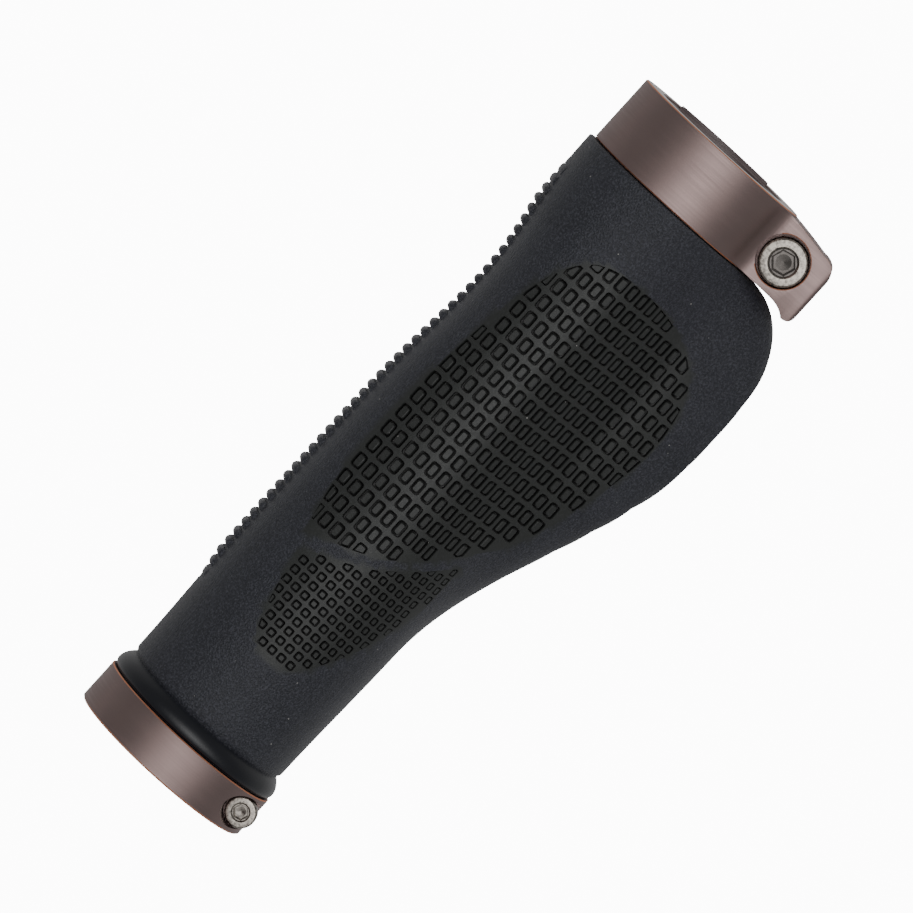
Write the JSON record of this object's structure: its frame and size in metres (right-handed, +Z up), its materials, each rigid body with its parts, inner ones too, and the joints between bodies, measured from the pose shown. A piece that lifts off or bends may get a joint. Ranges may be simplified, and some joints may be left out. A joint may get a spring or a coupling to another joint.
{
  "type": "handlebar grip",
  "caption": "Right-hand bicycle handlebar grip with a palm wing, patterned rubber and a metal clamp at each end.",
  "frame": {"origin": "on the handlebar's axis, at the inboard face of the inboard clamp ring", "axes": "+X along the handlebar towards its outboard end, +Z up, -Y towards the rider and the palm wing"},
  "size_m": [0.1389, 0.0495, 0.0346],
  "materials": {
    "rubber": "matte moulded elastomer with a fine leather-like grain",
    "sleeve": "satin hard plastic",
    "clamp_metal": "satin taupe anodised",
    "screw_steel": "bright stainless"
  },
  "bodies": {
    "root": {"rubber_grip": "rubber", "core_sleeve": "sleeve", "inboard_clamp_ring": "clamp_metal", "outboard_clamp": "clamp_metal", "inboard_ring_screw": "screw_steel", "outboard_clamp_screw": "screw_steel"}
  },
  "joints": []
}
